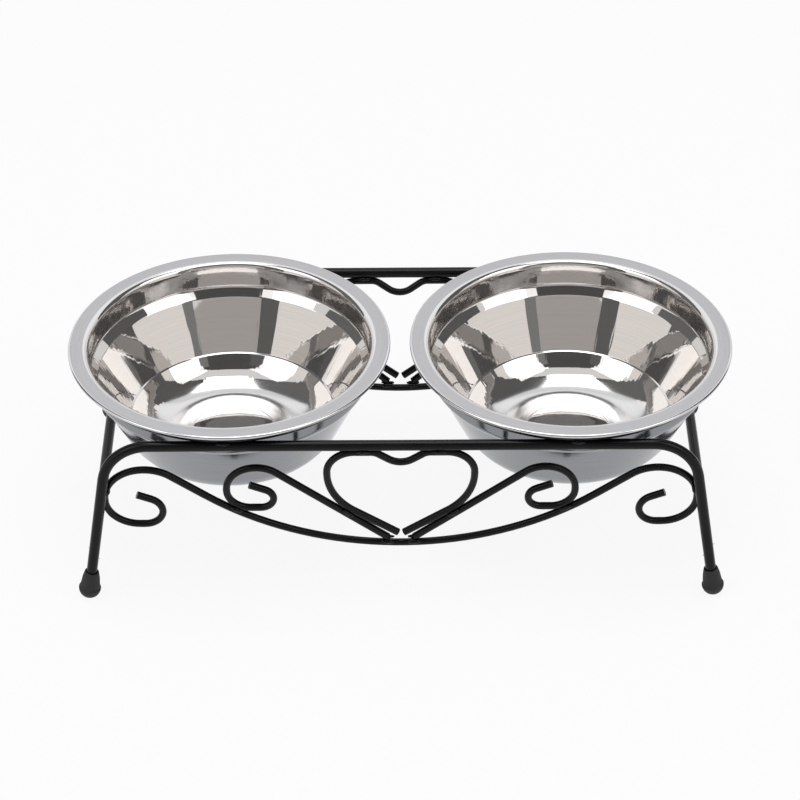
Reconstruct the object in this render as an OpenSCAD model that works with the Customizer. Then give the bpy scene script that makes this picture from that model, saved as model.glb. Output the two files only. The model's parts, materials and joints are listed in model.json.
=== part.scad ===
// Raised feeder for a dog: a bent wire stand with scrollwork and two loose bowls.
// The origin is on the floor, midway between the four feet. X runs along the rails, Z is up.

/* [Wires] */
// Diameter of the frame wire
frame_wire_d = 5; // [4:0.25:6]
// Diameter of the scroll wire
scroll_wire_d = 3.5; // [2.5:0.25:4]
// Diameter of the ring wire
ring_wire_d = 5; // [4:0.25:6]
// Gap between two wires that are welded side by side
weld_gap = 0.1; // [0.06:0.02:0.2]
// Length of the short straight between two bends of a wire or a sheet
blend = 1; // [0.8:0.1:2]
// Thickness of a weld bead
bead_d = 1.4; // [1:0.1:1.8]
// Length of a weld bead
bead_len = 6; // [4:0.5:8]

/* [Stand] */
// Height of the rail's axis above the floor
rail_z = 87; // [84:0.5:96]
// Distance between the two leg axes of a frame, at the floor
foot_span = 294.5; // [284:0.5:316]
// Lean of each leg from the upright, in degrees
leg_splay = 9; // [6:0.5:12]
// Radius of the bend from rail to leg, on the wire's axis
corner_r = 22; // [14:1:26]
// Height of the side stretcher's axis above the floor
stretcher_z = 22.5; // [19:0.5:32]
// Lean of each scroll panel, with its foot toward the middle, in degrees
panel_lean = 8; // [4:0.5:9]

/* [Heart] */
// Distance from the middle to where a lobe meets the rail
heart_lobe_x = 14; // [12:0.5:16]
// Length of a lobe's flat top, which is welded to the rail
heart_flat = 6.9; // [4.4:0.5:9.4]
// Drop of the dip between the lobes, below their tops
heart_dip = 6.3; // [5.3:0.2:7.3]
// Half the width of the dip, where its tangents meet
heart_dip_w = 3; // [2:0.25:4]
// Radius of a lobe beside the dip
heart_inner_r = 7; // [5.5:0.5:8]
// Radius of a lobe's outer shoulder
heart_outer_r = 13; // [11:0.2:15]
// Radius of the heart's flank
heart_flank_r = 30; // [27:0.5:33]
// Slope of the heart's straight lower side, in degrees
heart_slope = 36; // [31:1:40]
// Gap between the two cut ends at the heart's point
heart_tip_gap = 1; // [0.5:0.25:3]

/* [Long scroll] */
// Drop from the rail's axis to the long scroll's lowest axis, along the panel
scroll_drop = 64; // [60:0.5:67]
// Share of the way to the end curl at which the low and rising tangents meet
sag_share = 0.43; // [0.38:0.01:0.47]
// Drop from the rail's axis to the end curl's centre, along the panel
curl_drop = 34; // [31:0.5:37]
// Radius over the top of the end curl
curl_top_r = 19; // [17:0.5:21.5]
// Radius under the end curl
curl_low_r = 15.5; // [14:0.1:17]
// Flat length at the bottom of the end curl
curl_flat = 2.4; // [1:0.2:5]
// Radius of the end curl's hook
curl_hook_r = 8.5; // [7:0.1:9.5]
// Length of the end curl's straight tip
curl_tip = 7; // [4:0.5:9]

/* [Inner scrolls] */
// Distance from the inner curl's lower centre to the end curl's centre, along the rail
inner_gap = 48.5; // [45:0.5:52]
// Radius over the top of the inner curl
inner_top_r = 14; // [12.5:0.25:15]
// Radius under the inner curl
inner_low_r = 11; // [10:0.25:12]
// Flat length at the bottom of the inner curl
inner_flat = 4.5; // [3:0.5:6]
// Radius of the inner curl's hook
inner_hook_r = 6; // [5:0.25:7]
// Length of the inner curl's straight tip
inner_tip = 8; // [4:0.5:9]
// Turn of each curl's hook, in degrees
hook_turn = 156; // [140:2:170]

/* [Feet] */
// Radius of the rounded end of a rubber foot
foot_r = 5.2; // [4.7:0.1:6]
// Height of a foot along the leg
foot_h = 14.4; // [12:0.2:16]
// Wall of the foot's sleeve at its top
foot_wall = 0.7; // [0.5:0.1:1.2]
// Drop from the top of the sleeve to its bell, along the leg
foot_bell = 3.6; // [2:0.2:5]
// Swell of the sleeve between its top and its bell
foot_swell = 0.8; // [0.4:0.1:1]
// Width of the ledge between the sleeve and the rounded end
foot_ledge = 0.5; // [0.2:0.1:0.8]
// Thickness of rubber under the leg's cut end
foot_floor = 3; // [2:0.25:4]
// Depth of the flat on which the foot stands
foot_flat = 0.6; // [0.3:0.1:1]
// Clearance of the leg in the foot
foot_fit = 0.1; // [0.05:0.05:0.2]

/* [Bowls] */
// Outside diameter of the bowl's rim
rim_d = 152; // [148:0.5:156]
// Gap between the rims of the two bowls
rim_gap = 9; // [4:0.5:16]
// Width of the bowl's flange, from the rim's edge to the outer face of the band
flange_w = 8.9; // [7.5:0.1:10]
// Thickness of the bowl's sheet
sheet = 0.6; // [0.4:0.05:0.8]
// Height of the bowl from its underside to the top of its flange
bowl_h = 52.4; // [46:0.2:56]
// Height of the straight band below the flange
band_h = 10.8; // [8:0.2:13]
// Radius of the two bends in the step below the band
step_r = 4; // [3:0.25:5]
// Turn of the step, in degrees
step_turn = 45; // [35:1:55]
// Length of the straight slope in the step
step_len = 1.6; // [0.6:0.2:2.6]
// Lean of the bowl's wall, in degrees
wall_lean = 26; // [20:1:30]
// Radius of the bend under the flange
shoulder_r = 2; // [1.5:0.1:2.2]
// Radius of the bend between wall and floor
base_r = 16; // [10:0.5:20]
// Width of the fine ledge between wall and base
base_ledge = 0.45; // [0.3:0.05:0.8]
// Radius of the raised disc on the bowl's floor
disc_r = 20; // [14:0.5:26]
// Height of the raised disc
disc_h = 0.35; // [0.3:0.05:0.5]
// Radius of the bends of the ledge and the disc
fine_r = 0.6; // [0.5:0.05:0.7]
// Radius of the rolled edge of the rim
curl_r = 0.9; // [0.8:0.05:1.2]
// Clearance of a bowl in its ring
bowl_fit = 1.2; // [0.4:0.1:1.5]
// Gap under the flange at rest
seat_gap = 0.3; // [0.2:0.05:0.4]

/* [Hidden] */
$fn = 48;

coat_black = [0.09, 0.09, 0.1];
rubber_black = [0.13, 0.13, 0.14];
steel_grey = [0.76, 0.77, 0.79];
right_angle = 90;

// Bends are a hair thinner than the straights and reach a little way into them
wire_ease = 0.03;
wire_lap = 0.3;
sheet_ease = 0.01;
sheet_lap = 0.1;

// A path is a start point, a heading in degrees and a list of steps: [length] or [turn, radius].
function along(h) = [cos(h), sin(h)];
function left_of(h) = [-sin(h), cos(h)];
function after_line(p, h, step) = p + step[0] * along(h);
function after_bend(p, h, step) =
    p + sign(step[0]) * step[1] * (left_of(h) - left_of(h + step[0]));
function step_end(p, h, step) = len(step) == 1 ? after_line(p, h, step) : after_bend(p, h, step);
function step_turned(h, step) = len(step) == 1 ? h : h + step[0];
function poses(p, h, steps, i = 0) =
    i == len(steps)
        ? [[p, h]]
        : concat([[p, h]], poses(step_end(p, h, steps[i]), step_turned(h, steps[i]), steps, i + 1));
function last(list) = list[len(list) - 1];
function doubled(step) = len(step) == 1 ? [2 * step[0]] : [2 * step[0], step[1]];
function both_ways(steps) = concat(
    [for (i = [len(steps) - 1:-1:1]) steps[i]],
    [doubled(steps[0])],
    [for (i = [1:len(steps) - 1]) steps[i]]
);
function lap_angle(lap, radius) = asin(lap / radius);

// A tangent from a point that passes a circle on its left: [heading, length].
function tangent(point, centre, radius) =
    let (reach = centre - point)
    [atan2(reach.y, reach.x) + asin(radius / norm(reach)), sqrt(reach * reach - radius * radius)];

// Places set by the wires that lie on each other
rim_r = rim_d / 2;
bowl_x = rim_r + rim_gap / 2;
ring_r = rim_r - flange_w + bowl_fit + ring_wire_d / 2;
rail_y = ring_r + (frame_wire_d - ring_wire_d) / 2;
ring_touch = (frame_wire_d + ring_wire_d) / 2 + weld_gap;
ring_rise = sqrt(ring_touch * ring_touch - (rail_y - ring_r) * (rail_y - ring_r));
ring_z = rail_z + ring_rise;
seat_z = ring_z + ring_wire_d / 2 + seat_gap;
scroll_touch = scroll_wire_d + weld_gap;
mixed_touch = (frame_wire_d + scroll_wire_d) / 2 + weld_gap;

// Frame: half of it, from the middle of the rail to the leg's end in its foot
foot_x = foot_span / 2;
corner_turn = right_angle - leg_splay;
corner_run = corner_r * tan(corner_turn / 2);
rail_half = foot_x - rail_z * tan(leg_splay) - corner_run;
leg_end = foot_floor + foot_fit;
leg_len = rail_z / cos(leg_splay) - corner_run - leg_end;
frame_steps = [[rail_half], [-corner_turn, corner_r], [leg_len]];

// Inward distance from the leg's axis to a point, turned into the point's X at height z
function beside_leg(distance, z) = foot_x - (distance + z * sin(leg_splay)) / cos(leg_splay);

// The panel is drawn flat, with the rail's axis at height zero

// Long scroll: half of it, from the lowest point to the end curl's tip
// The panel leans, so the curl lies behind the leg as well as beside it
// It touches the leg at the turn that needs the most room between them
function curl_behind(turn) = (curl_drop - curl_top_r * sin(leg_splay + turn)) * sin(panel_lean);
function curl_room(turn) =
    curl_behind(turn) < mixed_touch
        ? sqrt(pow(mixed_touch, 2) - pow(curl_behind(turn), 2)) - curl_top_r * (1 - cos(turn))
        : -curl_top_r;
curl_turns = [for (turn = [-right_angle / 2:right_angle / 2]) turn];
curl_rooms = [for (turn = curl_turns) curl_room(turn)];
curl_beside = max(curl_rooms);
curl_touch = curl_turns[search(curl_beside, curl_rooms)[0]];
curl_cross = acos(cos(curl_touch) * cos(panel_lean));
curl_tilt = asin(curl_behind(curl_touch) / mixed_touch)
    - atan(sin(leg_splay + curl_touch) * tan(panel_lean));
curl_floor_z = rail_z - curl_drop * cos(panel_lean);
curl_centre = [beside_leg(curl_top_r + curl_beside, curl_floor_z), -curl_drop];
sag_x = sag_share * curl_centre.x;
rise = tangent([sag_x, -scroll_drop], curl_centre, curl_top_r);
sag_r = sag_x / tan(rise[0] / 2);
sag_centre = [0, sag_r - scroll_drop];
long_steps = [
    [rise[0], sag_r],
    [rise[1] - sag_x],
    [-rise[0] - right_angle, curl_top_r],
    [blend],
    [-right_angle, curl_low_r],
    [curl_flat],
    [-hook_turn, curl_hook_r],
    [curl_tip]
];

// Heart: half of it, from the dip to the cut end at the point
heart_top = -mixed_touch;
dip_z = heart_top - heart_dip;
dip_rise = tangent([heart_dip_w, dip_z], [heart_lobe_x, heart_top - heart_inner_r], heart_inner_r);
dip_r = heart_dip_w / tan(dip_rise[0] / 2);
flank_centre = [
    heart_lobe_x + heart_flat + heart_outer_r - heart_flank_r,
    heart_top - heart_outer_r - blend
];
flank_end_x = flank_centre.x + heart_flank_r * sin(heart_slope);
heart_end_x = (scroll_wire_d * sin(heart_slope) + heart_tip_gap) / 2;
heart_steps = [
    [dip_rise[0], dip_r],
    [dip_rise[1] - heart_dip_w],
    [-dip_rise[0], heart_inner_r],
    [heart_flat],
    [-right_angle, heart_outer_r],
    [blend],
    [heart_slope - right_angle, heart_flank_r],
    [(flank_end_x - heart_end_x) / cos(heart_slope)]
];

// Inner scroll: its curl lies in the sag, its diagonal passes the heart's flank
inner_x = curl_centre.x - inner_gap;
inner_swing = sag_r - inner_low_r - scroll_touch;
inner_lean = asin(inner_x / inner_swing);
inner_low_centre = [inner_x, sag_centre.y - inner_swing * cos(inner_lean)];
inner_top_centre = inner_low_centre + [inner_low_r - inner_top_r, blend];
flank_reach = heart_flank_r + scroll_touch;
flank_to_curl = inner_top_centre - flank_centre;
diagonal = atan2(flank_to_curl.y, flank_to_curl.x)
    + asin((flank_reach + inner_top_r) / norm(flank_to_curl));
diagonal_top = inner_top_centre + inner_top_r * left_of(diagonal);
from_sag = diagonal_top - sag_centre;
lap_r = sag_r - scroll_touch;
toward_lap = from_sag * along(diagonal);
diagonal_len = toward_lap + sqrt(toward_lap * toward_lap - from_sag * from_sag + lap_r * lap_r);
inner_start = diagonal_top - diagonal_len * along(diagonal);
inner_steps = [
    [diagonal_len],
    [-diagonal - right_angle, inner_top_r],
    [blend],
    [-right_angle, inner_low_r],
    [inner_flat],
    [-hook_turn, inner_hook_r],
    [inner_tip]
];

// Welds: a bead lies in the notch between two wires
bead_r = bead_d / 2;
bead_gap = weld_gap;
bead_parts = 6;

// Foot: a ball with a bell-shaped sleeve, around the leg's axis
foot_ball_h = (foot_r - foot_flat) / cos(leg_splay);
foot_bore_r = frame_wire_d / 2 + foot_fit;
foot_top_r = foot_bore_r + foot_wall;
foot_top = [foot_top_r, foot_h - foot_ball_h];
foot_waist = [foot_top_r + foot_swell, foot_top.y - foot_bell];
foot_skirt = [foot_r - foot_ledge, foot_ledge];

// Bowl: the middle of the sheet, from the rolled edge to the middle of the floor
roll_turn = 200;
fine_turn = 30;
function fine_len(offset) = (offset - 2 * fine_r * (1 - cos(fine_turn))) / sin(fine_turn);
function fine_run(length) = 2 * fine_r * sin(fine_turn) + length * cos(fine_turn);
roll_r = curl_r - sheet / 2;
roll_centre = [rim_r - curl_r, sheet - curl_r];
roll_start = right_angle - roll_turn;
band_r = rim_r - flange_w - sheet / 2;
bend_r = shoulder_r + sheet / 2;
corner_bend_r = base_r + sheet / 2;
lean_turn = right_angle - wall_lean;
step_drop = step_r * (2 * sin(step_turn) - sin(wall_lean)) + step_len * cos(step_turn);
step_in = step_r * (1 + cos(wall_lean) - 2 * cos(step_turn)) + step_len * sin(step_turn);
ledge_len = fine_len(base_ledge);
ledge_run = fine_run(ledge_len) + blend;
ledge_drop = ledge_run * cos(wall_lean) - base_ledge * sin(wall_lean);
ledge_in = ledge_run * sin(wall_lean) + base_ledge * cos(wall_lean);
corner_drop = corner_bend_r * (1 - cos(lean_turn));
wall_drop = bowl_h - sheet - bend_r - band_h - step_drop - ledge_drop - corner_drop;
wall_in = wall_drop * tan(wall_lean);
floor_r = band_r - step_in - wall_in - ledge_in - corner_bend_r * sin(lean_turn);
disc_len = fine_len(disc_h);
bowl_steps = [
    [roll_turn, roll_r],
    [roll_centre.x - band_r - bend_r],
    [right_angle, bend_r],
    [band_h],
    [-step_turn, step_r],
    [step_len],
    [step_turn - wall_lean, step_r],
    [wall_drop / cos(wall_lean)],
    [-fine_turn, fine_r],
    [ledge_len],
    [fine_turn, fine_r],
    [blend],
    [-lean_turn, corner_bend_r],
    [floor_r - disc_r - fine_run(disc_len)],
    [-fine_turn, fine_r],
    [disc_len],
    [fine_turn, fine_r],
    [disc_r]
];

// One step of a round wire, from the origin along +X, in the XY plane
module wire_step(d, step) {
    if (len(step) == 1) {
        rotate([0, right_angle, 0]) cylinder(d = d, h = step[0]);
    } else {
        lap = lap_angle(wire_lap, step[1]);
        side = sign(step[0]);
        translate([0, side * step[1], 0])
            rotate([0, 0, (side > 0 ? -right_angle : right_angle + step[0]) - lap])
                rotate_extrude(angle = abs(step[0]) + 2 * lap)
                    translate([step[1], 0]) circle(d = d - 2 * wire_ease);
    }
}

// A bent wire in the XY plane
module bent_wire(d, p, h, steps) {
    stops = poses(p, h, steps);
    for (i = [0:len(steps) - 1])
        translate(stops[i][0]) rotate([0, 0, stops[i][1]]) wire_step(d, steps[i]);
}

// A wire that runs from the middle to both sides alike
module twin_wire(d, z, steps) {
    end = last(poses([0, z], 0, steps));
    bent_wire(d, [-end[0].x, end[0].y], -end[1], both_ways(steps));
}

// One step of a bent sheet's section, from the origin along +X
module sheet_step(t, step) {
    if (len(step) == 1) {
        translate([0, -t / 2]) square([step[0], t]);
    } else {
        lap = lap_angle(sheet_lap, step[1]);
        side = sign(step[0]);
        start = -side * (right_angle + lap);
        turn = step[0] + 2 * side * lap;
        parts = 4;
        wedge_r = 2 * (step[1] + t);
        translate([0, side * step[1]])
            intersection() {
                difference() {
                    circle(r = step[1] + t / 2 - sheet_ease);
                    circle(r = step[1] - t / 2 + sheet_ease);
                }
                polygon(concat(
                    [[0, 0]],
                    [for (i = [0:parts]) wedge_r * along(start + i * turn / parts)]
                ));
            }
    }
}

// The section of a bent sheet
module bent_sheet(t, p, h, steps) {
    stops = poses(p, h, steps);
    for (i = [0:len(steps) - 1])
        translate(stops[i][0]) rotate([0, 0, stops[i][1]]) sheet_step(t, steps[i]);
}

module both_sides() {
    children();
    mirror([1, 0, 0]) children();
}

// Stands a flat drawing up below the front (-1) or rear (1) rail, with its foot leaning inward
module upright(side, lean = 0) {
    translate([0, side * rail_y, rail_z]) rotate([right_angle - side * lean, 0, 0]) children();
}

// A weld bead along Y, thick in the middle and blunt at its ends
module bead() {
    swell = 2 * right_angle / (bead_parts + 2);
    rotate([right_angle, 0, 0])
        rotate_extrude()
            polygon(concat(
                [[0, bead_len / 2], [0, -bead_len / 2]],
                [for (i = [0:bead_parts]) [
                    bead_r * sin((i + 1) * swell),
                    bead_len * (i / bead_parts - 1 / 2)
                ]]
            ));
}

// A bead in the notch above two wires along Y: a on the -X side of the origin, b on its +X side
module notch_bead(a_d, b_d) {
    spread = (a_d + b_d) / 2;
    shift = (a_d - b_d) / 4 * ((spread + bead_d + 2 * bead_gap) / (spread + weld_gap) - 1);
    reach = a_d / 2 + bead_r + bead_gap;
    across = a_d / 2 + weld_gap / 2 + shift;
    translate([shift, 0, sqrt(reach * reach - across * across)]) bead();
}

// The same bead on both faces of the wires
module weld(a_d, b_d) {
    notch_bead(a_d, b_d);
    mirror([0, 0, 1]) notch_bead(a_d, b_d);
}

// A place in a frame's plane, a distance along a direction from a centre, with X along that direction
module at_touch(centre, direction, distance) {
    translate(centre + distance * along(direction)) rotate([0, 0, direction]) children();
}

module frame(side) {
    color(coat_black) upright(side) twin_wire(frame_wire_d, 0, frame_steps);
}

module heart(side) {
    color(coat_black) upright(side, panel_lean) twin_wire(scroll_wire_d, dip_z, heart_steps);
}

module long_scroll(side) {
    color(coat_black) upright(side, panel_lean) twin_wire(scroll_wire_d, -scroll_drop, long_steps);
}

module inner_scroll(side, hand) {
    color(coat_black)
        upright(side, panel_lean)
            mirror([hand < 0 ? 1 : 0, 0, 0]) bent_wire(scroll_wire_d, inner_start, diagonal, inner_steps);
}

module bowl_ring(hand) {
    color(coat_black)
        translate([hand * bowl_x, 0, ring_z])
            rotate_extrude() translate([ring_r, 0]) circle(d = ring_wire_d);
}

module side_stretcher(hand) {
    length = 2 * (rail_y - frame_wire_d / 2 - weld_gap);
    color(coat_black)
        translate([hand * beside_leg(0, stretcher_z), 0, stretcher_z])
            rotate([right_angle, 0, 0]) cylinder(d = frame_wire_d, h = length, center = true);
}

module frame_welds(side) {
    edge = (scroll_wire_d + weld_gap) / 2;
    lap = inner_start - sag_centre;
    color(coat_black) upright(side, panel_lean) both_sides() {
        at_touch([heart_lobe_x + heart_flat / 2, heart_top], right_angle, edge)
            weld(scroll_wire_d, frame_wire_d);
        at_touch(flank_centre, diagonal - right_angle, heart_flank_r + edge)
            weld(scroll_wire_d, scroll_wire_d);
        at_touch(sag_centre, inner_lean - right_angle, sag_r - edge)
            weld(scroll_wire_d, scroll_wire_d);
        at_touch(sag_centre, atan2(lap.y, lap.x), sag_r - edge)
            weld(scroll_wire_d, scroll_wire_d);
        at_touch(curl_centre, leg_splay + curl_touch, curl_top_r)
            rotate([side * curl_cross / 2, side * curl_tilt, 0])
                translate([edge, 0, 0]) weld(scroll_wire_d, frame_wire_d);
    }
}

// One bead in the outer notch where each ring lies on a rail
module ring_welds() {
    tilt = atan2(ring_rise, rail_y - ring_r);
    color(coat_black)
        for (hand = [-1, 1], turn = [0, 2 * right_angle])
            translate([hand * bowl_x, 0, rail_z])
                rotate([0, 0, turn])
                    translate([0, -rail_y, 0])
                        rotate([0, 0, right_angle])
                            rotate([0, -tilt, 0])
                                translate([(frame_wire_d + weld_gap) / 2, 0, 0])
                                    notch_bead(frame_wire_d, ring_wire_d);
}

// Beads above and below each end of a stretcher, across the corner that it makes with the leg
module stretcher_welds() {
    off_wire = frame_wire_d / 2 + bead_r + bead_gap;
    color(coat_black) both_sides()
        for (side = [-1, 1], way = [-1, 1])
            translate([beside_leg(0, stretcher_z), side * (rail_y - off_wire), stretcher_z + way * off_wire])
                rotate([0, 0, right_angle]) bead();
}

module foot_section() {
    intersection() {
        circle(r = foot_r);
        translate([0, foot_skirt.y - 2 * foot_r]) square(2 * foot_r);
    }
    polygon([[0, 0], [foot_skirt.x, 0], foot_skirt, foot_waist, foot_top, [0, foot_top.y]]);
}

module foot(side, hand) {
    depth = foot_h - foot_floor;
    slab = 4 * foot_r;
    color(rubber_black)
        mirror([hand < 0 ? 1 : 0, 0, 0])
            translate([foot_x, side * rail_y, 0])
                difference() {
                    rotate([0, -leg_splay, 0])
                        difference() {
                            translate([0, 0, foot_ball_h]) rotate_extrude() foot_section();
                            translate([0, 0, foot_floor]) cylinder(r = foot_bore_r, h = depth + foot_fit);
                        }
                    translate([0, 0, -slab / 2]) cube(slab, center = true);
                }
}

module bowl(hand) {
    start = roll_centre + roll_r * along(roll_start);
    color(steel_grey)
        translate([hand * bowl_x, 0, seat_z])
            rotate_extrude() bent_sheet(sheet, start, roll_start + right_angle, bowl_steps);
}

frame(-1);  // front_frame
frame(1);  // rear_frame
bowl_ring(-1);  // left_bowl_ring
bowl_ring(1);  // right_bowl_ring
heart(-1);  // front_heart
heart(1);  // rear_heart
long_scroll(-1);  // front_long_scroll
long_scroll(1);  // rear_long_scroll
inner_scroll(-1, -1);  // front_left_inner_scroll
inner_scroll(-1, 1);  // front_right_inner_scroll
inner_scroll(1, -1);  // rear_left_inner_scroll
inner_scroll(1, 1);  // rear_right_inner_scroll
side_stretcher(-1);  // left_side_stretcher
side_stretcher(1);  // right_side_stretcher
foot(-1, -1);  // front_left_foot
foot(-1, 1);  // front_right_foot
foot(1, -1);  // rear_left_foot
foot(1, 1);  // rear_right_foot
frame_welds(-1);  // front_welds
frame_welds(1);  // rear_welds
ring_welds();
stretcher_welds();
bowl(-1);  // left_bowl
bowl(1);  // right_bowl
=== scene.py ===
"""Dresses a raised dog feeder: coated wires, weld beads, rubber tips, steel bowls, studio and camera."""

from __future__ import annotations

import json
import logging
import math
from dataclasses import dataclass, field
from enum import Enum
from typing import Iterable

import bpy
from mathutils import Euler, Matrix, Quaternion, Vector

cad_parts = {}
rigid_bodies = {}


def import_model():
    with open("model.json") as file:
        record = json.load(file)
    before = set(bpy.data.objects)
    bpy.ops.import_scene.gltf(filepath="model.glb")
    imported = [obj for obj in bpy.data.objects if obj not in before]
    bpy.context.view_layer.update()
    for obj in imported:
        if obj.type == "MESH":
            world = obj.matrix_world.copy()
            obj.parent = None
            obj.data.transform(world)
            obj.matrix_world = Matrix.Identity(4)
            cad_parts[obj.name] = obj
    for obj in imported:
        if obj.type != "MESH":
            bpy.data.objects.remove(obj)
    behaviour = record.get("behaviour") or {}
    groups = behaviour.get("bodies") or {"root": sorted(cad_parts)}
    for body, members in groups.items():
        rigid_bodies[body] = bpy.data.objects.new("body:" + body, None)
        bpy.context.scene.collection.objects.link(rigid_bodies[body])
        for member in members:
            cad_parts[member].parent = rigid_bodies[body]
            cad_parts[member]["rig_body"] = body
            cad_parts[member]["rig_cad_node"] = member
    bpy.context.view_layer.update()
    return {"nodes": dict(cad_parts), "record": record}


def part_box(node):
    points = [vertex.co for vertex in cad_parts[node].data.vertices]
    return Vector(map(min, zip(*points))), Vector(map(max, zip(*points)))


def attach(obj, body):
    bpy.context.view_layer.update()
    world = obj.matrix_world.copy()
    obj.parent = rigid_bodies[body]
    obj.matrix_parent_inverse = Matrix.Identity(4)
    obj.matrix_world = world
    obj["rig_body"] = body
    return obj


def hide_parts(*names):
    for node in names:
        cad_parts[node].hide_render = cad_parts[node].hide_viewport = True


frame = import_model()

LOG = logging.getLogger("feeder")
Colour = tuple[float, float, float]
Station = tuple[float, float]
Socket = bpy.types.NodeSocket

MM = 0.001
UP = (0.0, 0.0, 1.0)
WHITE: Colour = (1.0, 1.0, 1.0)
WARM: Colour = (1.0, 0.96, 0.92)
COOL: Colour = (0.92, 0.97, 1.0)

# Points of a spun piece, or of a bead, that lie closer than this become one point
SPIN_MERGE = 0.002 * MM
BEAD_MERGE = 0.001 * MM
# Points of a tip that lie this near the floor count as lying on it
CUT_SLACK = 0.0001 * MM
# Most noise values lie between these two
NOISE_LOW = 0.3
NOISE_HIGH = 0.7
# Kinds of ray that pass through a card unseen, which leaves the glossy ones
UNSEEN_RAYS = ("camera", "diffuse", "shadow", "transmission", "volume_scatter")


class Slot(Enum):
    """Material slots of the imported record."""

    COAT = "black_coat"
    RUBBER = "foot_rubber"
    STEEL = "bowl_steel"


class Body(Enum):
    """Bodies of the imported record."""

    STAND = "stand"
    LEFT_BOWL = "left_bowl"
    RIGHT_BOWL = "right_bowl"


class End(Enum):
    """The stand's two wire panels, as the CAD names them."""

    FRONT = "front"
    REAR = "rear"


class Hand(Enum):
    """The stand's two sides, as the sign of x."""

    LEFT = -1
    RIGHT = 1


class Board:
    """A material's node tree, with short ways to add and join nodes."""

    def __init__(self, name: str) -> None:
        """Starts a material with a Principled shader.

        Args:
            name: The material's name.
        """
        self.material = bpy.data.materials.new(name)
        self.material.use_nodes = True
        self.tree = self.material.node_tree
        self.shader = self.tree.nodes["Principled BSDF"]
        self.place = self.add("ShaderNodeTexCoord").outputs["Object"]

    def add(self, kind: str, **settings: object) -> bpy.types.Node:
        """Adds a node and sets its properties.

        Args:
            kind: Blender's name for the node's type.
            settings: Properties of the node, by name.

        Returns:
            The new node.
        """
        node = self.tree.nodes.new(kind)
        for key, value in settings.items():
            setattr(node, key, value)
        return node

    def join(self, source: Socket, target: Socket) -> None:
        """Links an output to an input."""
        self.tree.links.new(source, target)

    def math(self, operation: str, *values: Socket | float) -> Socket:
        """Adds a Math node.

        Args:
            operation: Name of the operation.
            values: Sockets or numbers, in the order of the node's inputs.

        Returns:
            The node's output.
        """
        node = self.add("ShaderNodeMath", operation=operation)
        for socket, value in zip(node.inputs, values):
            if isinstance(value, Socket):
                self.join(value, socket)
            else:
                socket.default_value = value
        return node.outputs[0]

    def noise(self, vector: Socket, scale: float, detail: float = 2.0) -> Socket:
        """Adds a noise texture.

        Args:
            vector: Where the noise is read.
            scale: Grains per unit of the vector.
            detail: Octaves of the noise.

        Returns:
            The noise's value.
        """
        node = self.add("ShaderNodeTexNoise")
        node.inputs["Scale"].default_value = scale
        node.inputs["Detail"].default_value = detail
        self.join(vector, node.inputs["Vector"])
        return node.outputs["Fac"]

    def roughen(self, value: Socket, smooth: float, rough: float) -> None:
        """Lets a noise set the shader's roughness.

        Args:
            value: The noise's value.
            smooth: Roughness at the noise's usual low.
            rough: Roughness at the noise's usual high.
        """
        node = self.add("ShaderNodeMapRange")
        node.inputs["From Min"].default_value = NOISE_LOW
        node.inputs["From Max"].default_value = NOISE_HIGH
        node.inputs["To Min"].default_value = smooth
        node.inputs["To Max"].default_value = rough
        self.join(value, node.inputs["Value"])
        self.join(node.outputs["Result"], self.shader.inputs["Roughness"])

    def tint(self, value: Socket, dark: Colour, light: Colour) -> None:
        """Lets a noise set the shader's colour.

        Args:
            value: The noise's value.
            dark: Colour at the noise's usual low.
            light: Colour at the noise's usual high.
        """
        ramp = self.add("ShaderNodeValToRGB")
        stops = zip(ramp.color_ramp.elements, (NOISE_LOW, NOISE_HIGH), (dark, light))
        for stop, place, colour in stops:
            stop.position = place
            stop.color = (*colour, 1.0)
        self.join(value, ramp.inputs["Fac"])
        self.join(ramp.outputs["Color"], self.shader.inputs["Base Color"])

    def bump(self, height: Socket, depth: float, strength: float = 1.0) -> None:
        """Gives the shader a bump, on top of any bump that it has.

        Args:
            height: Height between 0 and 1.
            depth: Depth of a height of 1, in metres.
            strength: Share of the bump that shows.
        """
        node = self.add("ShaderNodeBump")
        for link in self.shader.inputs["Normal"].links:
            self.join(link.from_socket, node.inputs["Normal"])
        node.inputs["Distance"].default_value = depth
        node.inputs["Strength"].default_value = strength
        self.join(height, node.inputs["Height"])
        self.join(node.outputs["Normal"], self.shader.inputs["Normal"])

    def around(self, centre: Vector, ring: float, arc: float) -> Socket:
        """Makes coordinates that follow circles about an upright axis.

        Args:
            centre: A point on the axis.
            ring: Scale across the circles and up the axis, per metre.
            arc: Scale along the circles, per radian.

        Returns:
            The coordinates.
        """
        shift = self.add("ShaderNodeVectorMath", operation="SUBTRACT")
        shift.inputs[1].default_value = (centre.x, centre.y, 0.0)
        self.join(self.place, shift.inputs[0])
        axes = self.add("ShaderNodeSeparateXYZ")
        self.join(shift.outputs[0], axes.inputs[0])
        x, y, z = axes.outputs
        square = self.math("ADD", self.math("MULTIPLY", x, x), self.math("MULTIPLY", y, y))
        radius = self.math("SQRT", square)
        turn = self.math("ARCTAN2", y, x)
        place = self.add("ShaderNodeCombineXYZ")
        for socket, value, scale in zip(place.inputs, (radius, turn, z), (ring, arc, ring)):
            self.join(self.math("MULTIPLY", value, scale), socket)
        return place.outputs[0]


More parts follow.
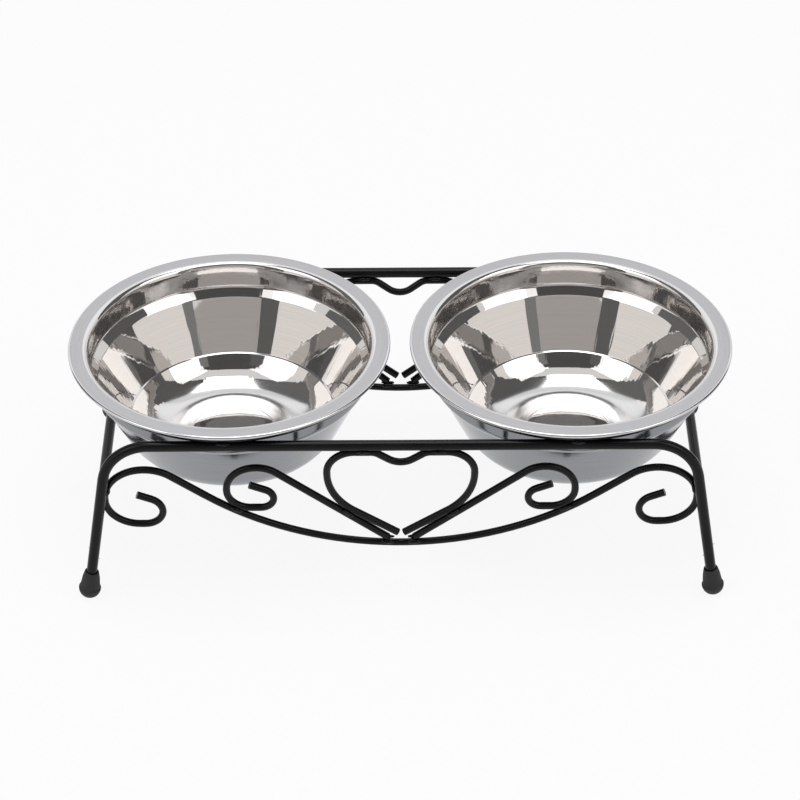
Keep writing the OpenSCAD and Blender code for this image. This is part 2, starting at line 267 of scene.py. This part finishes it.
@dataclass(frozen=True)
class PowderCoat:
    """Black powder coat: near-black, half gloss, with a fine orange peel. Depths in metres."""

    name: str = "black_powder_coat"
    dark: Colour = (0.0035, 0.0035, 0.0041)
    light: Colour = (0.0065, 0.0065, 0.0073)
    smooth: float = 0.17
    rough: float = 0.27
    gloss: float = 0.17
    patch_scale: float = 90.0
    patch_detail: float = 4.0
    peel_scale: float = 1500.0
    peel_depth: float = 0.00003
    peel_strength: float = 0.5

    def make(self) -> bpy.types.Material:
        """Makes the finish.

        Returns:
            The finish as a node material.
        """
        board = Board(self.name)
        board.shader.inputs["Specular IOR Level"].default_value = self.gloss
        patch = board.noise(board.place, self.patch_scale, self.patch_detail)
        board.tint(patch, self.dark, self.light)
        board.roughen(patch, self.smooth, self.rough)
        peel = board.noise(board.place, self.peel_scale)
        board.bump(peel, self.peel_depth, self.peel_strength)
        return board.material


@dataclass(frozen=True)
class SoftRubber:
    """Matt black rubber with a moulded grain. Depths in metres."""

    name: str = "black_rubber"
    dark: Colour = (0.011, 0.011, 0.012)
    light: Colour = (0.02, 0.02, 0.0215)
    smooth: float = 0.62
    rough: float = 0.82
    patch_scale: float = 220.0
    patch_detail: float = 3.0
    grain_scale: float = 2600.0
    grain_detail: float = 1.0
    grain_depth: float = 0.00005
    grain_strength: float = 0.6

    def make(self) -> bpy.types.Material:
        """Makes the finish.

        Returns:
            The finish as a node material.
        """
        board = Board(self.name)
        patch = board.noise(board.place, self.patch_scale, self.patch_detail)
        board.tint(patch, self.dark, self.light)
        board.roughen(patch, self.smooth, self.rough)
        grain = board.noise(board.place, self.grain_scale, self.grain_detail)
        board.bump(grain, self.grain_depth, self.grain_strength)
        return board.material


@dataclass(frozen=True)
class TurnedSteel:
    """Stainless steel with marks that run round a bowl's axis, and faint waves left by drawing it deep.

    Depths are in metres. A scale counts per metre, and an arc scale per radian. Haze is the share of the
    surface that scatters light instead of mirroring it.
    """

    name: str
    dark: Colour
    light: Colour
    smooth: float
    rough: float
    line_scale: float
    line_depth: float
    line_strength: float
    line_arc_scale: float = 1.5
    line_detail: float = 3.0
    wave_scale: float = 20.0
    wave_arc_scale: float = 12.0
    wave_depth: float = 0.0
    haze: float = 0.0

    def make(self, centre: Vector) -> bpy.types.Material:
        """Makes the finish for one bowl.

        Args:
            centre: A point on the bowl's axis.

        Returns:
            The finish as a node material.
        """
        board = Board(self.name)
        board.shader.inputs["Metallic"].default_value = 1.0 - self.haze
        circles = board.around(centre, self.line_scale, self.line_arc_scale)
        lines = board.noise(circles, 1.0, self.line_detail)
        board.tint(lines, self.dark, self.light)
        board.roughen(lines, self.smooth, self.rough)
        board.bump(lines, self.line_depth, self.line_strength)
        if self.wave_depth:
            waves = board.noise(board.around(centre, self.wave_scale, self.wave_arc_scale), 1.0)
            board.bump(waves, self.wave_depth)
        return board.material


def select_only(piece: bpy.types.Object) -> None:
    """Selects one object and makes it the active one.

    Args:
        piece: The object.
    """
    bpy.ops.object.select_all(action="DESELECT")
    piece.select_set(True)
    bpy.context.view_layer.objects.active = piece


def apply_modifiers(piece: bpy.types.Object) -> None:
    """Applies every modifier of a piece, in order.

    Args:
        piece: The piece, which is then the only selected object.
    """
    select_only(piece)
    for modifier in list(piece.modifiers):
        bpy.ops.object.modifier_apply(modifier=modifier.name)


def hand_over(piece: bpy.types.Object, body: Body, nodes: Iterable[str]) -> None:
    """Ties a finished piece to the frame.

    Args:
        piece: The finished piece, at the origin.
        body: Body that carries it.
        nodes: CAD nodes that it stands for.
    """
    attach(piece, body.value)
    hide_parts(*nodes)
    LOG.info("%s: %d faces on %s", piece.name, len(piece.data.polygons), body.value)


@dataclass
class Section:
    """A line of stations in a section plane, made of runs and bends. Millimetres and degrees."""

    radius: float
    height: float
    heading: float
    bend_parts: int = 10
    stations: list[Station] = field(default_factory=list)

    def __post_init__(self) -> None:
        """Notes the first station."""
        self.stations.append((self.radius, self.height))

    def run(self, length: float, parts: int = 1) -> Section:
        """Goes straight on.

        Args:
            length: Length of the run.
            parts: Number of equal pieces of it.

        Returns:
            The section itself.
        """
        angle = math.radians(self.heading)
        for _ in range(parts):
            self.radius += length / parts * math.cos(angle)
            self.height += length / parts * math.sin(angle)
            self.stations.append((self.radius, self.height))
        return self

    def bend(self, turn: float, radius: float) -> Section:
        """Goes round a bend.

        Args:
            turn: Turn to the left.
            radius: Radius of the bend.

        Returns:
            The section itself.
        """
        part = turn / self.bend_parts
        chord = 2 * radius * math.sin(math.radians(abs(part)) / 2)
        for _ in range(self.bend_parts):
            self.heading += part / 2
            self.run(chord)
            self.heading += part / 2
        return self

    def beside(self, distance: float) -> list[Station]:
        """Draws a line at one side of the section.

        Args:
            distance: Distance to the left of the heading.

        Returns:
            The stations of that line.
        """
        moved = []
        ahead = self.stations[1:] + self.stations[-1:]
        behind = self.stations[:1] + self.stations[:-1]
        for (x, z), (ahead_x, ahead_z), (behind_x, behind_z) in zip(self.stations, ahead, behind):
            run, rise = ahead_x - behind_x, ahead_z - behind_z
            share = distance / math.hypot(run, rise)
            moved.append((x - share * rise, z + share * run))
        return moved


def turned(name: str, stations: list[Station], centre: Vector, steps: int) -> bpy.types.Object:
    """Spins a section about an upright axis.

    Args:
        name: Name of the piece.
        stations: Radius and height of each point, in millimetres.
        centre: Point on the axis from which heights count, in metres.
        steps: Number of steps round the axis.

    Returns:
        The turned surface, with its place in its mesh.
    """
    points = [centre + Vector((radius * MM, 0.0, height * MM)) for radius, height in stations]
    bpy.ops.object.select_all(action="DESELECT")
    bpy.ops.mesh.primitive_plane_add(size=MM, location=points[0])
    piece = bpy.context.object
    piece.name = piece.data.name = name
    bpy.ops.object.mode_set(mode="EDIT")
    bpy.ops.mesh.select_all(action="SELECT")
    bpy.ops.mesh.merge(type="CENTER")
    for start, end in zip(points, points[1:]):
        bpy.ops.mesh.extrude_vertices_move(TRANSFORM_OT_translate={"value": end - start})
    bpy.ops.mesh.select_all(action="SELECT")
    bpy.ops.mesh.spin(steps=steps, angle=math.tau, center=centre, axis=UP)
    bpy.ops.mesh.select_all(action="SELECT")
    bpy.ops.mesh.remove_doubles(threshold=SPIN_MERGE)
    bpy.ops.mesh.normals_make_consistent(inside=False)
    bpy.ops.object.mode_set(mode="OBJECT")
    select_only(piece)
    bpy.ops.object.transform_apply(location=True, rotation=True, scale=True)
    bpy.ops.object.shade_smooth()
    return piece


class Region(Enum):
    """Regions of a bowl that have a finish of their own, in the order of its material slots."""

    OUTSIDE = 0
    INSIDE = 1
    FLANGE = 2
    EDGE = 3
    FLOOR = 4
    DISC = 5


BOWL_FINISHES = {
    # The outside's colours sit far below the steel's own tone, with a cool cast: painted shade that stands
    # for the shaded floor under the stand, which the outside mirrors
    Region.OUTSIDE: TurnedSteel(
        name="satin_steel",
        dark=(0.215, 0.219, 0.233),
        light=(0.28, 0.284, 0.3),
        smooth=0.1,
        rough=0.18,
        line_scale=9000.0,
        line_depth=0.00001,
        line_strength=0.15,
    ),
    Region.INSIDE: TurnedSteel(
        name="polished_steel",
        dark=(0.6, 0.58, 0.565),
        light=(0.64, 0.62, 0.605),
        smooth=0.02,
        rough=0.05,
        line_scale=2500.0,
        line_depth=0.000004,
        line_strength=0.05,
        wave_depth=0.00008,
        haze=0.08,
    ),
    Region.FLANGE: TurnedSteel(
        name="brushed_steel",
        dark=(0.36, 0.36, 0.375),
        light=(0.46, 0.46, 0.475),
        smooth=0.3,
        rough=0.42,
        line_scale=7000.0,
        line_depth=0.00002,
        line_strength=0.25,
    ),
    Region.EDGE: TurnedSteel(
        name="rolled_edge_steel",
        dark=(0.56, 0.56, 0.57),
        light=(0.64, 0.64, 0.65),
        smooth=0.1,
        rough=0.18,
        line_scale=6000.0,
        line_depth=0.00001,
        line_strength=0.1,
    ),
    Region.FLOOR: TurnedSteel(
        name="buffed_steel",
        dark=(0.58, 0.58, 0.585),
        light=(0.63, 0.63, 0.635),
        smooth=0.1,
        rough=0.16,
        line_scale=4000.0,
        line_depth=0.000006,
        line_strength=0.1,
        haze=0.05,
    ),
    Region.DISC: TurnedSteel(
        name="polished_disc_steel",
        dark=(0.59, 0.575, 0.565),
        light=(0.63, 0.615, 0.605),
        smooth=0.03,
        rough=0.06,
        line_scale=2500.0,
        line_depth=0.000004,
        line_strength=0.05,
        haze=0.05,
    ),
}


@dataclass(frozen=True, kw_only=True)
class Pressing:
    """One side of a bowl under its shoulder: band, step, wall, ledge, corner and ringed floor.

    Sizes are in millimetres and angles in degrees, along the middle of the sheet. The drop goes from the
    flange to the floor outside its disc.
    """

    band_h: float
    step_r: float
    step_len: float
    wall_lean: float
    drop: float
    chamfer: float
    chamfer_turn: float
    base_r: float
    disc_r: float
    step_turn: float = 45.0
    ledge: float = 0.58
    disc_slope: float = 0.38
    fine_r: float = 0.6
    fine_turn: float = 30.0
    band_parts: int = 4
    wall_parts: int = 6
    floor_parts: int = 4

    def corner(self, line: Section) -> Section:
        """Draws the ledge under the wall, the chamfer and the round corner.

        Args:
            line: The section so far.

        Returns:
            The same section.
        """
        line.bend(-self.fine_turn, self.fine_r)
        line.run(self.ledge)
        line.bend(self.fine_turn - self.chamfer_turn, self.fine_r)
        line.run(self.chamfer)
        return line.bend(self.wall_lean + self.chamfer_turn - 90.0, self.base_r)

    def draw(self, line: Section) -> None:
        """Draws the pressing from the shoulder to the middle of the floor.

        Args:
            line: The section so far, which goes straight down.
        """
        line.run(self.band_h, self.band_parts)
        line.bend(-self.step_turn, self.step_r)
        line.run(self.step_len)
        line.bend(self.step_turn - self.wall_lean, self.step_r)
        corner_drop = -self.corner(Section(0.0, 0.0, line.heading)).height
        wall_drop = line.height + self.drop - corner_drop
        line.run(wall_drop / math.cos(math.radians(self.wall_lean)), self.wall_parts)
        self.corner(line)
        line.run(line.radius - self.disc_r, self.floor_parts)
        line.bend(-self.fine_turn, self.fine_r)
        line.run(self.disc_slope)
        line.bend(self.fine_turn, self.fine_r)
        line.run(line.radius, self.floor_parts)


@dataclass
class Bowl:
    """A pressed steel bowl with a rolled rim and a flat flange, whose inside and outside have a line each.

    Sizes are in millimetres and angles in degrees. The last three fields tell a face's region: its normal
    points up by more than floor_up on the floor, and on the rest of the inside it points up by more than
    inside_up or towards the axis by more than inside_in.
    """

    node: str
    body: Body
    sheet: float = 0.6
    rim_r: float = 76.0
    curl_r: float = 0.9
    roll_turn: float = 200.0
    band_r: float = 66.8
    bend_r: float = 2.3
    inside: Pressing = Pressing(
        band_h=9.6,
        step_r=2.6,
        step_len=3.8,
        wall_lean=30.5,
        drop=52.8,
        chamfer=4.0,
        chamfer_turn=8.5,
        base_r=24.0,
        disc_r=21.0,
    )
    outside: Pressing = Pressing(
        band_h=10.8,
        step_r=4.0,
        step_len=1.6,
        wall_lean=26.0,
        drop=53.1,
        chamfer=0.5,
        chamfer_turn=2.0,
        base_r=16.3,
        disc_r=20.0,
    )
    flange_parts: int = 3
    steps: int = 256
    floor_up: float = 0.85
    inside_up: float = 0.25
    inside_in: float = 0.1

    def middle(self) -> Vector:
        """Returns the middle of the bowl's CAD box, which is on its axis."""
        low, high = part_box(self.node)
        return (low + high) / 2

    def section(self, pressing: Pressing) -> Section:
        """Draws the middle of the sheet, from the rolled edge to the middle of the floor.

        Args:
            pressing: The bowl's form under its shoulder.

        Returns:
            The section, with heights from the middle of the flange.
        """
        roll_r = self.curl_r - self.sheet / 2
        start = math.radians(90.0 - self.roll_turn)
        line = Section(
            self.rim_r - self.curl_r + roll_r * math.cos(start),
            roll_r * (math.sin(start) - 1.0),
            180.0 - self.roll_turn,
        )
        line.bend(self.roll_turn, roll_r)
        line.run(line.radius - self.band_r - self.bend_r, self.flange_parts)
        line.bend(90.0, self.bend_r)
        pressing.draw(line)
        return line

    def build(self) -> bpy.types.Object:
        """Spins a section that runs up the inside, round the rolled edge and down the outside.

        Returns:
            The bowl's mesh.
        """
        centre = self.middle()
        centre.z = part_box(self.node)[1].z - self.sheet / 2 * MM
        inner = self.section(self.inside).beside(-self.sheet / 2)
        outer = self.section(self.outside).beside(self.sheet / 2)
        for side in (inner, outer):
            side[-1] = (0.0, side[-1][1])
        return turned(f"{self.node}_steel", inner[::-1] + outer, centre, self.steps)

    def region(self, face: bpy.types.MeshPolygon, centre: Vector) -> Region:
        """Tells which finish a face has.

        Args:
            face: A face of the finished bowl.
            centre: A point on the bowl's axis.

        Returns:
            The face's region.
        """
        arm = face.center - centre
        arm.z = 0.0
        outward = face.normal.dot(arm.normalized()) if arm.length > MM else 0.0
        if arm.length > (self.rim_r - self.curl_r) * MM:
            return Region.EDGE
        if arm.length > (self.band_r + self.bend_r) * MM:
            return Region.FLANGE
        if face.normal.z > self.floor_up:
            return Region.DISC if arm.length < self.inside.disc_r * MM else Region.FLOOR
        if face.normal.z > self.inside_up or outward < -self.inside_in:
            return Region.INSIDE
        return Region.OUTSIDE

    def dress(self, piece: bpy.types.Object) -> None:
        """Gives each region of the bowl its finish.

        Args:
            piece: The bowl's mesh.
        """
        centre = self.middle()
        for region in Region:
            piece.data.materials.append(BOWL_FINISHES[region].make(centre))
        for face in piece.data.polygons:
            face.material_index = self.region(face, centre).value

    def add(self) -> None:
        """Builds, dresses and hands over the bowl."""
        piece = self.build()
        self.dress(piece)
        hand_over(piece, self.body, [self.node])


@dataclass(frozen=True)
class WeldGroup:
    """The weld beads of one CAD node. Noise above the middle swells a bead, and noise below it thins it."""

    node: str
    middle: float = 0.2


@dataclass
class WireStand:
    """The stand's coated wires, which keep their CAD shapes, and the weld beads between them.

    The lumps of the beads are in millimetres.
    """

    welds: tuple[WeldGroup, ...] = (
        WeldGroup("front_welds"),
        WeldGroup("rear_welds"),
        WeldGroup("ring_welds"),
        WeldGroup("stretcher_welds", middle=1.1),
    )
    lump_size: float = 1.6
    lump_height: float = 0.7
    coat: PowderCoat = PowderCoat()

    def wires(self) -> list[str]:
        """Lists the coated nodes that stay as they are.

        Returns:
            The names of the nodes.
        """
        beads = [group.node for group in self.welds]
        return [
            row["node"]
            for row in frame["record"]["subparts"]
            if row["material_slot"] == Slot.COAT.value and row["node"] not in beads
        ]

    def bead(self, group: WeldGroup, texture: bpy.types.Texture) -> bpy.types.Object:
        """Makes lumpy beads from a node's smooth ones.

        Args:
            group: The smooth beads.
            texture: Noise that shapes the lumps.

        Returns:
            The lumpy beads.
        """
        select_only(frame["nodes"][group.node])
        bpy.ops.object.duplicate()
        piece = bpy.context.object
        piece.name = piece.data.name = f"{group.node}_beads"
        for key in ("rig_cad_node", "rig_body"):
            del piece[key]
        piece.parent = None
        bpy.ops.object.mode_set(mode="EDIT")
        bpy.ops.mesh.select_all(action="SELECT")
        bpy.ops.mesh.remove_doubles(threshold=BEAD_MERGE)
        bpy.ops.mesh.normals_make_consistent(inside=False)
        bpy.ops.object.mode_set(mode="OBJECT")
        lumps = piece.modifiers.new("lumps", "DISPLACE")
        lumps.texture = texture
        lumps.texture_coords = "LOCAL"
        lumps.strength = self.lump_height * MM
        lumps.mid_level = group.middle
        apply_modifiers(piece)
        bpy.ops.object.shade_smooth()
        return piece

    def add(self) -> None:
        """Dresses the wires and adds the beads."""
        material = self.coat.make()
        for name in self.wires():
            node = frame["nodes"][name]
            node.data.materials.clear()
            node.data.materials.append(material)
            LOG.info("%s: dressed", name)
        texture = bpy.data.textures.new("weld_lumps", "CLOUDS")
        texture.noise_scale = self.lump_size * MM
        for group in self.welds:
            piece = self.bead(group, texture)
            piece.data.materials.clear()
            piece.data.materials.append(material)
            hand_over(piece, Body.STAND, [group.node])


@dataclass
class RubberTip:
    """A moulded rubber tip on a leg: a sleeve with a lip, a flaring bell and a round foot.

    Sizes are in millimetres and angles in degrees.
    """

    end: End
    hand: Hand
    bore_r: float = 2.55
    splay: float = 9.0
    foot_r: float = 5.2
    flat: float = 0.6
    height: float = 14.4
    top_r: float = 3.3
    bell_drop: float = 3.6
    bell_r: float = 4.1
    ledge: float = 0.5
    lip_depth: float = 1.5
    round_w: float = 0.3
    round_parts: int = 3
    sharp_angle: float = 24.0
    smooth_angle: float = 35.0
    ball_parts: int = 20
    steps: int = 64

    def node(self) -> str:
        """Returns the name of the tip's CAD node."""
        return f"{self.end.value}_{self.hand.name.lower()}_foot"

    def ball_z(self) -> float:
        """Returns the height of the ball's centre along the leg."""
        return (self.foot_r - self.flat) / math.cos(math.radians(self.splay))

    def section(self) -> list[Station]:
        """Draws the tip's outline, from inside the lip to the middle of its underside.

        Returns:
            Radius and height of each station above the floor along the leg's axis.
        """
        ball_z = self.ball_z()
        stations = [
            (self.bore_r, self.height - self.lip_depth),
            (self.bore_r, self.height),
            (self.top_r, self.height),
            (self.bell_r, self.height - self.bell_drop),
            (self.foot_r - self.ledge, ball_z + self.ledge),
        ]
        lift = math.asin(self.ledge / self.foot_r)
        for part in range(self.ball_parts + 1):
            angle = lift - part * (math.pi / 2 + lift) / self.ball_parts
            stations.append((self.foot_r * math.cos(angle), ball_z + self.foot_r * math.sin(angle)))
        stations[-1] = (0.0, ball_z - self.foot_r)
        return stations

    def build(self) -> bpy.types.Object:
        """Turns the tip, rounds its edges, leans it with its leg and cuts it flat on the floor.

        Returns:
            The tip's mesh.
        """
        low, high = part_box(self.node())
        side = self.hand.value
        lean = math.radians(self.splay)
        outer_x = high.x if self.hand is Hand.RIGHT else low.x
        inward = self.foot_r - self.ball_z() * math.sin(lean)
        foot = Vector((outer_x - side * inward * MM, (low.y + high.y) / 2, 0.0))
        piece = turned(f"{self.node()}_tip", self.section(), foot, self.steps)
        edges = piece.modifiers.new("rounded_edges", "BEVEL")
        edges.width = self.round_w * MM
        edges.segments = self.round_parts
        edges.angle_limit = math.radians(self.sharp_angle)
        apply_modifiers(piece)
        bpy.ops.object.mode_set(mode="EDIT")
        bpy.ops.mesh.select_all(action="SELECT")
        bpy.ops.transform.rotate(value=side * lean, orient_axis="Y", center_override=foot)
        bpy.ops.mesh.select_all(action="SELECT")
        bpy.ops.mesh.bisect(
            plane_co=(0.0, 0.0, 0.0), plane_no=UP, use_fill=True, clear_inner=True, threshold=CUT_SLACK
        )
        bpy.ops.object.mode_set(mode="OBJECT")
        select_only(piece)
        bpy.ops.object.shade_smooth_by_angle(angle=math.radians(self.smooth_angle))
        return piece

    def add(self, material: bpy.types.Material) -> None:
        """Builds, dresses and hands over the tip.

        Args:
            material: The rubber's finish.
        """
        piece = self.build()
        piece.data.materials.append(material)
        hand_over(piece, Body.STAND, [self.node()])


@dataclass(frozen=True, kw_only=True)
class SetPiece:
    """A part of the set that hangs beside the object and faces it. Lengths in metres, angles in degrees.

    Azimuth 0 is behind the object and 90 to its right. The width is the angle that it fills, seen from the
    object, and a glow of 1 is white.
    """

    name: str
    azimuth: float
    elevation: float
    wide: float
    glow: float
    distance: float = 1.6

    def spot(self) -> Vector:
        """Finds its centre.

        Returns:
            The centre, as seen from the point that it faces.
        """
        turn, lift = math.radians(self.azimuth), math.radians(self.elevation)
        flat = math.cos(lift)
        return self.distance * Vector((math.sin(turn) * flat, math.cos(turn) * flat, math.sin(lift)))

    def facing(self) -> Euler:
        """Returns the turn with which it faces the object."""
        return (-self.spot()).to_track_quat("-Z", "Y").to_euler()

    def span(self, angle: float) -> float:
        """Returns the length that fills an angle at its distance."""
        return 2 * self.distance * math.tan(math.radians(angle) / 2)


@dataclass(frozen=True, kw_only=True)
class Softbox(SetPiece):
    """A square lamp with an even face."""

    def add(self) -> None:
        """Hangs the lamp."""
        lamp = bpy.data.lights.new(self.name, "AREA")
        lamp.shape = "SQUARE"
        lamp.size = self.span(self.wide)
        lamp.energy = self.glow * math.pi * lamp.size**2
        holder = bpy.data.objects.new(self.name, lamp)
        holder.location = self.spot()
        holder.rotation_euler = self.facing()
        bpy.context.scene.collection.objects.link(holder)


@dataclass(frozen=True, kw_only=True)
class Card(SetPiece):
    """A card seen only in glossy surfaces. Its height is an angle too, and it faces a point at aim_z."""

    tall: float
    tone: Colour = WHITE
    aim_z: float = 0.09

    def paint(self) -> bpy.types.Material:
        """Makes the card's even face.

        Returns:
            The face as a node material.
        """
        material = bpy.data.materials.new(self.name)
        material.use_nodes = True
        tree = material.node_tree
        light = tree.nodes.new("ShaderNodeEmission")
        light.inputs["Color"].default_value = (*self.tone, 1.0)
        light.inputs["Strength"].default_value = self.glow
        tree.links.new(light.outputs[0], tree.nodes["Material Output"].inputs["Surface"])
        return material

    def add(self) -> None:
        """Hangs the card."""
        bpy.ops.object.select_all(action="DESELECT")
        bpy.ops.mesh.primitive_plane_add(size=1.0, location=self.spot() + Vector((0.0, 0.0, self.aim_z)))
        card = bpy.context.object
        card.name = self.name
        card.scale = (self.span(self.wide), self.span(self.tall), 1.0)
        card.rotation_euler = self.facing()
        for ray in UNSEEN_RAYS:
            setattr(card, f"visible_{ray}", False)
        card.data.materials.append(self.paint())


@dataclass(frozen=True, kw_only=True)
class Flag(Card):
    """A dim upright card close to the object."""

    distance: float = 1.5


@dataclass(frozen=True, kw_only=True)
class Wall(Card):
    """A bright card, far enough out for the others to hang before it."""

    distance: float = 1.9


SET_PIECES = (
    Softbox(name="overhead_softbox", azimuth=0.0, elevation=86.0, wide=30.0, glow=3.2),
    Softbox(name="left_softbox", azimuth=-118.0, elevation=46.0, wide=30.0, glow=1.45),
    Softbox(name="right_softbox", azimuth=118.0, elevation=46.0, wide=30.0, glow=1.45),
    Card(name="room_upper", azimuth=180.0, elevation=51.0, wide=56.0, tall=20.0, glow=0.05),
    Card(name="room_middle", azimuth=180.0, elevation=37.0, wide=50.0, tall=8.0, glow=0.34, tone=COOL),
    Card(name="room_lower", azimuth=180.0, elevation=12.5, wide=60.0, tall=35.0, glow=0.5, tone=WARM),
    Flag(name="right_front_flag", azimuth=144.0, elevation=20.0, wide=9.0, tall=56.0, glow=0.24),
    Flag(name="left_front_flag", azimuth=-144.0, elevation=20.0, wide=14.0, tall=56.0, glow=0.11),
    Flag(name="right_rear_flag", azimuth=72.0, elevation=34.0, wide=34.0, tall=84.0, glow=0.09),
    Flag(name="left_rear_flag", azimuth=-70.0, elevation=34.0, wide=30.0, tall=84.0, glow=0.14),
    Wall(name="right_wall", azimuth=112.0, elevation=16.0, wide=56.0, tall=36.0, glow=1.08, tone=WARM),
    Wall(name="left_wall", azimuth=-112.0, elevation=16.0, wide=56.0, tall=36.0, glow=1.08, tone=WARM),
    Wall(name="rear_upper", azimuth=0.0, elevation=42.0, wide=84.0, tall=30.0, glow=1.3),
)


@dataclass
class Studio:
    """Pale floor, soft light, cards, white surroundings and the camera.

    Lengths are in metres, the camera's elevation in degrees and its roll in radians. The floor shows white
    for the share floor_white, and its paint for the rest.
    """

    floor_size: float = 12.0
    floor_tone: Colour = (0.9, 0.9, 0.9)
    floor_white: float = 0.9
    sky_light: float = 0.45
    sky_seen: float = 1.0
    target_z: float = 0.0475
    camera_distance: float = 1.424
    camera_elevation: float = 36.48
    camera_roll: float = 0.0055
    lens: float = 133.16
    image_shift: tuple[float, float] = (-0.0006, 0.0281)
    set_pieces: tuple[Softbox | Card, ...] = SET_PIECES

    @staticmethod
    def seen(tree: bpy.types.NodeTree) -> Socket:
        """Tells rays that see a surface from rays that only light the object.

        Args:
            tree: Node tree that needs the answer.

        Returns:
            A socket that is 1 for camera, glossy and transmission rays.
        """
        path = tree.nodes.new("ShaderNodeLightPath")
        answer = path.outputs["Is Camera Ray"]
        for ray in ("Is Glossy Ray", "Is Transmission Ray"):
            either = tree.nodes.new("ShaderNodeMath")
            either.operation = "MAXIMUM"
            tree.links.new(answer, either.inputs[0])
            tree.links.new(path.outputs[ray], either.inputs[1])
            answer = either.outputs[0]
        return answer

    def floor_paint(self) -> bpy.types.Material:
        """Makes the floor's finish, which shows as near white and keeps a soft shadow.

        Returns:
            The finish as a node material.
        """
        material = bpy.data.materials.new("pale_floor")
        material.use_nodes = True
        tree = material.node_tree
        paint = tree.nodes.new("ShaderNodeBsdfDiffuse")
        paint.inputs["Color"].default_value = (*self.floor_tone, 1.0)
        white = tree.nodes.new("ShaderNodeEmission")
        share = tree.nodes.new("ShaderNodeMath")
        share.operation = "MULTIPLY"
        share.inputs[1].default_value = self.floor_white
        mix = tree.nodes.new("ShaderNodeMixShader")
        tree.links.new(self.seen(tree), share.inputs[0])
        tree.links.new(share.outputs[0], mix.inputs["Fac"])
        tree.links.new(paint.outputs[0], mix.inputs[1])
        tree.links.new(white.outputs[0], mix.inputs[2])
        tree.links.new(mix.outputs[0], tree.nodes["Material Output"].inputs["Surface"])
        return material

    def add_floor(self) -> None:
        """Lays the floor."""
        bpy.ops.object.select_all(action="DESELECT")
        bpy.ops.mesh.primitive_plane_add(size=self.floor_size)
        floor = bpy.context.object
        floor.name = "floor"
        floor.data.materials.append(self.floor_paint())

    def add_sky(self) -> None:
        """Makes the surroundings white to the eye and in the steel, and dimmer as a light."""
        world = bpy.data.worlds.new("surroundings")
        bpy.context.scene.world = world
        world.use_nodes = True
        tree = world.node_tree
        level = tree.nodes.new("ShaderNodeMapRange")
        level.inputs["To Min"].default_value = self.sky_light
        level.inputs["To Max"].default_value = self.sky_seen
        tree.links.new(self.seen(tree), level.inputs["Value"])
        tree.links.new(level.outputs["Result"], tree.nodes["Background"].inputs["Strength"])
        tree.nodes["Background"].inputs["Color"].default_value = (*WHITE, 1.0)

    def add_camera(self) -> None:
        """Sets the camera at the photograph's angle."""
        lift = math.radians(self.camera_elevation)
        back = Vector((0.0, -math.cos(lift), math.sin(lift)))
        data = bpy.data.cameras.new("camera")
        data.lens = self.lens
        data.shift_x, data.shift_y = self.image_shift
        camera = bpy.data.objects.new("camera", data)
        camera.location = Vector((0.0, 0.0, self.target_z)) + back * self.camera_distance
        roll = Quaternion(UP, -self.camera_roll)
        camera.rotation_euler = ((-back).to_track_quat("-Z", "Y") @ roll).to_euler()
        bpy.context.scene.collection.objects.link(camera)
        bpy.context.scene.camera = camera

    def add(self) -> None:
        """Builds the whole set."""
        bpy.context.scene.view_settings.view_transform = "Standard"
        self.add_camera()
        self.add_sky()
        self.add_floor()
        for piece in self.set_pieces:
            piece.add()


def main() -> None:
    """Builds the stand, its tips and bowls, and the studio."""
    logging.basicConfig(level=logging.INFO, format="%(name)s %(message)s")
    WireStand().add()
    rubber = SoftRubber().make()
    for end in End:
        for hand in Hand:
            RubberTip(end, hand).add(rubber)
    Bowl("left_bowl", Body.LEFT_BOWL).add()
    Bowl("right_bowl", Body.RIGHT_BOWL).add()
    Studio().add()


if __name__ == "__main__":
    main()
